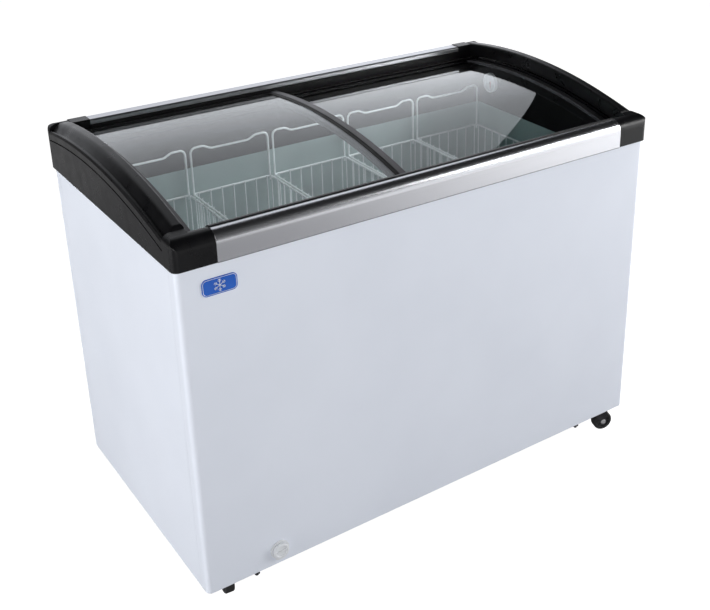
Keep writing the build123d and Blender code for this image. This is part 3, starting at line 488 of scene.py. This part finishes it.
# Black seal that lies on the upper pane, beside the trim at its right edge
trim_low, trim_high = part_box("upper_lid_right_trim")
SEAL_WIDTH = 0.008
SEAL_HEIGHT = 0.0018
seal = Shape()
seal.arched_bar(
    trim_low.x - SEAL_WIDTH, trim_low.x, upper_drop - SEAL_HEIGHT, upper_drop, trim_low.y, trim_high.y
)
seal.build("upper_lid_seal", "upper_lid", black_seal, 0.0006)


# ---------------------------------------------------------------- baskets
RIM_WIRE = 0.0025
MESH_WIRE = 0.0015
BASKET_WALL = 0.290
CROSS_WIRES = 16
LONG_WIRES = 7
MESH_BEND = 0.012
RIM_BEND = 0.008
HANDLE_DIP = 0.009
HANDLE_INSET = 0.0045
# length of a handle's leg below the rim
HANDLE_FOOT = 0.012


def smooth_step(t):
    """0 up to t = 0 and 1 from t = 1, with a smooth rise between them."""
    t = max(0.0, min(1.0, t))
    return t * t * (3 - 2 * t)


def handle_path(x_left, x_right, y, z_foot, z_top):
    """Legs, round shoulders and a top bar that dips in the middle."""
    shoulder = 0.013
    rise = 0.028
    slope = 0.026
    left = rounded([(x_left, y, z_foot), (x_left, y, z_top), (x_left + rise, y, z_top)], shoulder, 8)
    right = rounded([(x_right - rise, y, z_top), (x_right, y, z_top), (x_right, y, z_foot)], shoulder, 8)
    bar = []
    steps = 48
    for i in range(1, steps):
        x = x_left + rise + (x_right - x_left - 2 * rise) * i / steps
        inward = min(x - x_left, x_right - x) - rise
        bar.append(Vector((x, y, z_top - HANDLE_DIP * smooth_step(inward / slope))))
    return left + bar + right


def wire_basket(name):
    """Basket of wires bent to a U both ways, with two loops round them and a handle at each end."""
    low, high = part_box(name)
    rim_z = low.z + BASKET_WALL
    wires = Shape()
    inner = 2 * RIM_WIRE + MESH_WIRE
    floor_z = low.z + MESH_WIRE
    pitch = (high.y - low.y) / CROSS_WIRES
    for i in range(CROSS_WIRES):
        y = low.y + (i + 0.5) * pitch
        x0 = low.x + inner
        x1 = high.x - inner
        corners = [(x0, y, rim_z), (x0, y, floor_z), (x1, y, floor_z), (x1, y, rim_z)]
        wires.tube(rounded(corners, MESH_BEND), MESH_WIRE, 8)
    pitch = (high.x - low.x) / LONG_WIRES
    for i in range(LONG_WIRES):
        x = low.x + (i + 0.5) * pitch
        y0 = low.y + inner
        y1 = high.y - inner
        lifted = floor_z + 2 * MESH_WIRE
        corners = [(x, y0, rim_z), (x, y0, lifted), (x, y1, lifted), (x, y1, rim_z)]
        wires.tube(rounded(corners, MESH_BEND), MESH_WIRE, 8)
    for z, radius in ((rim_z - RIM_WIRE, RIM_WIRE), (low.z + 0.5 * BASKET_WALL, MESH_WIRE)):
        inset = 2 * RIM_WIRE - radius
        x0 = low.x + inset
        x1 = high.x - inset
        y0 = low.y + inset
        y1 = high.y - inset
        loop = rounded([(x0, y0, z), (x1, y0, z), (x1, y1, z), (x0, y1, z)], RIM_BEND, closed=True)
        wires.tube(loop, radius, 10, closed=True)
    x_left = low.x + HANDLE_INSET
    x_right = high.x - HANDLE_INSET
    for y in (low.y + RIM_WIRE, high.y - RIM_WIRE):
        wires.tube(handle_path(x_left, x_right, y, rim_z - HANDLE_FOOT, high.z - RIM_WIRE), RIM_WIRE, 12)
    wires.build(
        f"{name}_wires", f"{name}_body", looks["basket_wire"], sharp=60, replaces=[name]
    )


for index in range(1, 6):
    wire_basket(f"basket_{index}")


# ---------------------------------------------------------------- small trim
def rounded_profile(corners, radius, steps):
    """Closed (radius, height) outline with every corner rounded."""
    return [(p.x, p.y) for p in rounded([(r, h, 0) for r, h in corners], radius, steps, closed=True)]


def centre_of(name):
    """Middle of a CAD piece's box."""
    low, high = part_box(name)
    return (low + high) / 2


def rail_seal():
    """Thin black strip between the foot of the front rail and the panel below it."""
    low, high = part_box("front_rail")
    panel_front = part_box("front_panel")[0].y
    reach, depth, tuck = 0.0045, 0.0012, 0.0002
    strip = Shape()
    strip.box((low.x, panel_front - reach, low.z - depth), (high.x, panel_front + tuck, low.z + tuck))
    strip.build("front_rail_seal", "cabinet", black_seal)


rail_seal()


def drain_plug():
    """Screw-in plug: a ribbed rim, a dished face and a finger bar across it."""
    low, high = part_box("drain_plug")
    middle = centre_of("drain_plug")
    reach = high.y - low.y
    radius = (high.x - low.x) / 2
    stem = 0.0085
    rim_depth = 0.0082
    seat = reach - rim_depth
    rib = 0.0006
    plug = Shape()
    # from the stem's end over the rim to the dished face
    plug.lathe(
        [
            (0, 0),
            (stem, 0),
            (stem, seat),
            (radius - 0.0010, seat),
            (radius - 0.0004, seat + 0.0006),
            (radius - 0.0004, reach - 0.0020),
            (radius - 0.0012, reach - 0.0006),
            (radius - 0.0030, reach),
            (radius - 0.0050, reach),
            (radius - 0.0058, reach - 0.0008),
            (radius - 0.0065, reach - 0.0026),
            (0, reach - 0.0022),
        ],
        (middle.x, high.y, middle.z),
        (0, -1, 0),
        96,
        closed=False,
    )
    ribs = 28
    rib_rear, rib_front = low.y + 0.0072, low.y + 0.0022
    for i in range(ribs):
        turn = 2 * math.pi * i / ribs
        x = middle.x + (radius - rib) * math.cos(turn)
        z = middle.z + (radius - rib) * math.sin(turn)
        plug.tube([(x, rib_rear, z), (x, rib_front, z)], rib, 8)
    half_length = radius - 0.0068
    half_height = 0.0019
    bar_foot = low.y + 0.0024
    bar_depth = 0.0020
    bar = [
        (middle.x + sx * half_length, bar_foot, middle.z + sz * half_height)
        for sx, sz in ((-1, -1), (1, -1), (1, 1), (-1, 1))
    ]
    plug.prism(bar, (0, -bar_depth, 0))
    plug.build(
        "drain_plug_cap",
        "drain_plug_body",
        looks["white_plastic"],
        0.0003,
        replaces=["drain_plug"],
    )


drain_plug()


def badge():
    """Generic frozen-food sign: a snowflake and a thin light rim on the blue plate."""
    low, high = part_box("badge")
    middle = centre_of("badge")
    face = low.y
    line = 0.0005
    stroke = 0.0006
    inset = 0.0022
    corner_radius = 0.0078
    rim = Shape()
    corners = [
        (low.x + inset, face, low.z + inset),
        (high.x - inset, face, low.z + inset),
        (high.x - inset, face, high.z - inset),
        (low.x + inset, face, high.z - inset),
    ]
    rim.tube(rounded(corners, corner_radius, 10, closed=True), line, 8, closed=True)
    rim.build("badge_rim", "cabinet", badge_light)
    flake = Shape()
    arm = 0.0125
    # where on the arm each pair of branches starts, how long it is, and how much it leans out
    branches = ((0.52, 0.0042), (0.78, 0.0030))
    lean = 1.1
    centre = Vector((middle.x, face, middle.z))
    for i in range(6):
        turn = math.pi / 2 + i * math.pi / 3
        out = Vector((math.cos(turn), 0, math.sin(turn)))
        across = Vector((-math.sin(turn), 0, math.cos(turn)))
        flake.tube([centre, centre + out * arm], stroke, 8)
        for along, length in branches:
            start = centre + out * arm * along
            for side in (-1, 1):
                flake.tube([start, start + (out + side * across * lean).normalized() * length], line, 8)
    flake.build("badge_snowflake", "cabinet", badge_light)


badge()


def thermometer_marks():
    """Printed scale on the dial: long and short marks over the needle's sweep."""
    low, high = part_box("thermometer_dial")
    middle = centre_of("thermometer_dial")
    face = high.x - 0.0010
    centre = Vector((face, middle.y, middle.z))
    marks = Shape()
    count = 23
    sweep = 220
    mark_end = 0.0192
    ink = 0.00012
    for i in range(count):
        turn = math.radians(-sweep / 2 + sweep * i / (count - 1))
        out = Vector((0, math.sin(turn), math.cos(turn)))
        across = Vector((0, math.cos(turn), -math.sin(turn)))
        long_mark = i % 2 == 0
        inner = 0.0150 if long_mark else 0.0168
        half = 0.00035 if long_mark else 0.00022
        outline = [
            centre + out * inner - across * half,
            centre + out * mark_end - across * half,
            centre + out * mark_end + across * half,
            centre + out * inner + across * half,
        ]
        marks.prism(outline, (-ink, 0, 0))
    marks.build("thermometer_marks", "cabinet", print_grey)
    ring_in, ring_out, ring_height = 0.0197, 0.0203, 0.00015
    outline = [(ring_in, 0), (ring_out, 0), (ring_out, ring_height), (ring_in, ring_height)]
    ring = Shape()
    ring.lathe(rounded_profile(outline, 0.00005, 2), centre, (-1, 0, 0), 96)
    ring.build("thermometer_ring", "cabinet", print_grey)
    cap = Shape()
    cap.lathe(
        [(0, 0), (0.0022, 0), (0.0022, 0.0004), (0.0016, 0.0009), (0, 0.0011)],
        (low.x, middle.y, middle.z),
        (-1, 0, 0),
        32,
        closed=False,
    )
    cap.build("thermometer_needle_cap", "needle", print_grey)


thermometer_marks()


def pan_head(shape, place, axis, radius):
    """Domed screw head with a shallow round recess."""
    shape.lathe(
        [
            (0, 0),
            (radius, 0),
            (radius, radius * 0.20),
            (radius * 0.86, radius * 0.42),
            (radius * 0.55, radius * 0.55),
            (radius * 0.30, radius * 0.58),
            (radius * 0.26, radius * 0.40),
            (0, radius * 0.36),
        ],
        place,
        axis,
        28,
        closed=False,
    )


def screws():
    """Screws of the grille and of the rear panel, all facing the rear."""
    rearward = (0, 1, 0)
    grille_thickness = 0.0021
    grille_head = 0.0038
    panel_head = 0.0034
    heads = Shape()
    low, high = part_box("machine_grille")
    panel_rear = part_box("rear_panel")[1].y
    border = 0.012
    for x in (low.x + border, high.x - border):
        for z in (low.z + border, high.z - border):
            pan_head(heads, (x, panel_rear + grille_thickness, z), rearward, grille_head)
    low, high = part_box("rear_panel")
    across = 6
    side = 0.045
    edge = 0.014
    for i in range(across):
        x = low.x + side + (high.x - low.x - 2 * side) * i / (across - 1)
        pan_head(heads, (x, panel_rear, high.z - edge), rearward, panel_head)
        # the grille takes the place of the last two in the lower row
        if i < across - 2:
            pan_head(heads, (x, panel_rear, low.z + edge), rearward, panel_head)
    heads.build("rear_screws", "cabinet", bright_screw)


screws()


def caster_wheel(corner):
    """Moulded tyre on a webbed hub, and a nut over a washer on each end of the fork's axle."""
    wheel = f"caster_wheel_{corner}"
    joint = next(j for j in frame["record"]["behaviour"]["joints"] if j["child"] == f"wheel_{corner}")
    axle = Vector(joint["axis"]).normalized()
    middle = centre_of(wheel)
    upright = Vector((0, 0, 1))
    forward = axle.cross(upright)

    tyre_radius = middle.z
    tyre_hole = 0.0165
    half = 0.010
    tyre = Shape()
    outline = [(tyre_hole, -half), (tyre_radius, -half), (tyre_radius, half), (tyre_hole, half)]
    tyre.lathe(rounded_profile(outline, 0.0030, 6), middle, axle, 96)
    tyre.build(
        f"tyre_{corner}", f"wheel_{corner}", looks["wheel_rubber"], sharp=50, replaces=[wheel]
    )

    # a boss round the axle, and a thinner disc out to the tyre
    hub_hole, boss_end, boss, hub_radius = 0.0031, 0.0072, 0.0080, 0.0164
    boss_half, disc_half = 0.0097, 0.0062
    hub = Shape()
    outline = [
        (hub_hole, -boss_half),
        (boss_end, -boss_half),
        (boss, -disc_half),
        (hub_radius, -disc_half),
        (hub_radius, disc_half),
        (boss, disc_half),
        (boss_end, boss_half),
        (hub_hole, boss_half),
    ]
    hub.lathe(rounded_profile(outline, 0.0005, 2), middle, axle, 64)
    webs = 6
    web_in, web_out = 0.0070, 0.0162
    web_width = 0.0170
    web_half_thickness = 0.0009
    for i in range(webs):
        turn = 2 * math.pi * i / webs
        out = math.cos(turn) * forward + math.sin(turn) * upright
        across = axle.cross(out) * web_half_thickness
        base = middle - axle * (web_width / 2)
        inner = base + out * web_in
        outer = base + out * web_out
        hub.prism([inner - across, outer - across, outer + across, inner + across], axle * web_width)
    hub.build(f"hub_{corner}", f"wheel_{corner}", hub_plastic)

    nut_radius, nut_height, nut_seat = 0.0050, 0.0030, 0.0136
    washer = [(0, 0), (0.0066, 0), (0.0066, 0.0005), (0.0060, 0.0009), (0, 0.0009)]
    washer_seat = 0.0135
    nuts = Shape()
    for side in (-1, 1):
        seat = middle + axle * side * nut_seat
        hexagon = []
        for k in range(6):
            turn = math.pi * k / 3
            hexagon.append(seat + nut_radius * (math.cos(turn) * forward + math.sin(turn) * upright))
        nuts.prism(hexagon, axle * side * nut_height)
        nuts.lathe(washer, middle + axle * side * washer_seat, axle * side, 32, closed=False)
    nuts.build(f"axle_nuts_{corner}", f"fork_{corner}", bright_screw, 0.0003)


for corner_name in ("front_left", "front_right", "rear_left", "rear_right"):
    caster_wheel(corner_name)

# ---------------------------------------------------------------- stage, light and camera
FLOOR = 40.0
SEEN_FLOOR = 1.0
floor_corners = [(-FLOOR, -FLOOR, 0), (FLOOR, -FLOOR, 0), (FLOOR, FLOOR, 0), (-FLOOR, FLOOR, 0)]
floor_mesh = bpy.data.meshes.new("floor")
floor_mesh.from_pydata(floor_corners, [], [(0, 1, 2, 3)])
floor = bpy.data.objects.new("floor", floor_mesh)
scene.collection.objects.link(floor)
floor_look = Look("Studio floor", 0.9, Specular_IOR_Level=0.0, Emission_Color=(1, 1, 1, 1))
floor_look.mottle((0.30, 0.30, 0.31), (0.32, 0.32, 0.33), 1.5)
# the camera sees white paper; the object sees a dim floor that glows more to the right and the rear
floor_tree = floor_look.tree
floor_point = floor_look.add("ShaderNodeNewGeometry").outputs["Position"]
floor_place = floor_look.add("ShaderNodeSeparateXYZ", Vector=floor_point)
right_glow = add_ramp(floor_tree, floor_place.outputs["X"], 0.3, 2.2, 0.07, 0.8)
rear_glow = add_ramp(floor_tree, floor_place.outputs["Y"], 1.2, 2.8, 0.0, 0.25)
felt = add_maths(floor_tree, "ADD", right_glow, rear_glow)
seen = floor_look.add("ShaderNodeLightPath").outputs["Is Camera Ray"]
floor_glow = add_ramp(floor_tree, seen, 0.0, 1.0, felt, SEEN_FLOOR, "LINEAR")
floor_tree.links.new(floor_glow, floor_look.shader.inputs["Emission Strength"])
floor_mesh.materials.append(floor_look.material)


def soft_box(name, place, aim, width, height, radiance, turn=0.0):
    """A rectangular light that faces aim, turned on itself by degrees, and unseen by the camera."""
    data = bpy.data.lights.new(name, "AREA")
    data.shape = "RECTANGLE"
    data.size = width
    data.size_y = height
    data.energy = radiance * math.pi * width * height
    box = bpy.data.objects.new(name, data)
    scene.collection.objects.link(box)
    box.location = place
    facing = (Vector(place) - Vector(aim)).to_track_quat("Z", "Y").to_matrix().to_4x4()
    box.rotation_euler = facing.to_euler()
    if turn:
        box.rotation_euler.rotate_axis("Z", math.radians(turn))
    box.visible_camera = False
    return box


backdrop = soft_box(
    "Backdrop", (1.43, 3.0, 4.33), aim=(1.43, 0.0, 4.33), width=4.8, height=7.6, radiance=1.0, turn=17.8
)
backdrop.visible_diffuse = False
backdrop.data.color = (0.93, 0.95, 1.0)
# brightest at its foot and to the right, so the glass clears towards the front of the lids
backdrop.data.use_nodes = True
lamp = backdrop.data.node_tree
lamp.nodes.clear()
lamp_point = add_node(lamp, "ShaderNodeNewGeometry").outputs["Position"]
lamp_place = add_node(lamp, "ShaderNodeSeparateXYZ", Vector=lamp_point)
fade_up = add_ramp(lamp, lamp_place.outputs["Z"], 1.5, 3.4, 1.3, 0.76)
dimmer_left = add_ramp(lamp, lamp_place.outputs["X"], 0.8, 2.4, 0.8, 1.15, "LINEAR")
lamp_strength = add_maths(lamp, "MULTIPLY", fade_up, dimmer_left)
lamp_glow = add_node(lamp, "ShaderNodeEmission", Strength=lamp_strength)
add_node(lamp, "ShaderNodeOutputLight", Surface=lamp_glow.outputs["Emission"])

soft_box("Left softbox", (-3.4, 0.1, 0.85), (0.0, 0.0, 0.5), width=2.4, height=1.6, radiance=6.5)
soft_box("Front left softbox", (-1.5, -3.2, 1.0), (-0.2, -0.3, 0.5), width=1.4, height=1.5, radiance=5.8)
soft_box("Right strip light", (2.35, -2.1, 2.0), (0.3, -0.3, 0.85), width=1.3, height=0.85, radiance=8.0)
soft_box("Right softbox", (3.6, -1.8, 0.9), (0.4, -0.2, 0.4), width=1.6, height=1.6, radiance=5.5)
fill = soft_box(
    "Fill over the right end", (2.3, -0.2, 2.3), (-0.2, 0.0, 0.7), width=1.0, height=1.0, radiance=12.0
)
fill.visible_glossy = False

# Dark room with a low bright band in front, brighter to the right: what the rails reflect
ROOM_DARK = 0.006
world = bpy.data.worlds.new("Studio")
scene.world = world
world.use_nodes = True
sky = world.node_tree
sky.nodes.clear()
toward = add_node(sky, "ShaderNodeTexCoord").outputs["Generated"]
heading = add_node(sky, "ShaderNodeSeparateXYZ", Vector=toward)
in_front = add_ramp(sky, heading.outputs["Y"], 0.1, -0.4, 0.0, 1.0)
low_down = add_ramp(sky, heading.outputs["Z"], 0.0, 0.34, 1.0, 0.0)
to_the_right = add_ramp(sky, heading.outputs["X"], 0.42, 0.60, 0.04, 1.5)
band = add_maths(sky, "MULTIPLY", add_maths(sky, "MULTIPLY", in_front, low_down), to_the_right)
room_strength = add_maths(sky, "ADD", band, ROOM_DARK)
room = add_node(sky, "ShaderNodeBackground", Color=(0.97, 0.98, 1.0, 1), Strength=room_strength)
paper = add_node(sky, "ShaderNodeBackground", Color=(1, 1, 1, 1))
is_camera = add_node(sky, "ShaderNodeLightPath").outputs["Is Camera Ray"]
mix = add_node(sky, "ShaderNodeMixShader", Fac=is_camera)
sky.links.new(room.outputs["Background"], mix.inputs[1])
sky.links.new(paper.outputs["Background"], mix.inputs[2])
add_node(sky, "ShaderNodeOutputWorld", Surface=mix.outputs["Shader"])

AZIMUTH = math.radians(-35.934)
ELEVATION = math.radians(23.48)
CAMERA_TARGET = Vector((0.2058, 0.0, 0.6132))
CAMERA_DISTANCE = 2.6355
camera_data = bpy.data.cameras.new("Camera")
camera_data.sensor_width = 36.0
camera_data.lens = 55.84
camera_data.shift_x = -0.1092
camera_data.shift_y = -0.1431
camera_data.clip_start = 0.05
camera_data.clip_end = 200.0
camera = bpy.data.objects.new("Camera", camera_data)
scene.collection.objects.link(camera)
look_from = Vector(
    (
        math.sin(AZIMUTH) * math.cos(ELEVATION),
        -math.cos(AZIMUTH) * math.cos(ELEVATION),
        math.sin(ELEVATION),
    )
)
camera.location = CAMERA_TARGET + look_from * CAMERA_DISTANCE
camera.rotation_mode = "QUATERNION"
camera.rotation_quaternion = look_from.to_track_quat("Z", "Y")
scene.camera = camera
scene.view_settings.view_transform = "Standard"
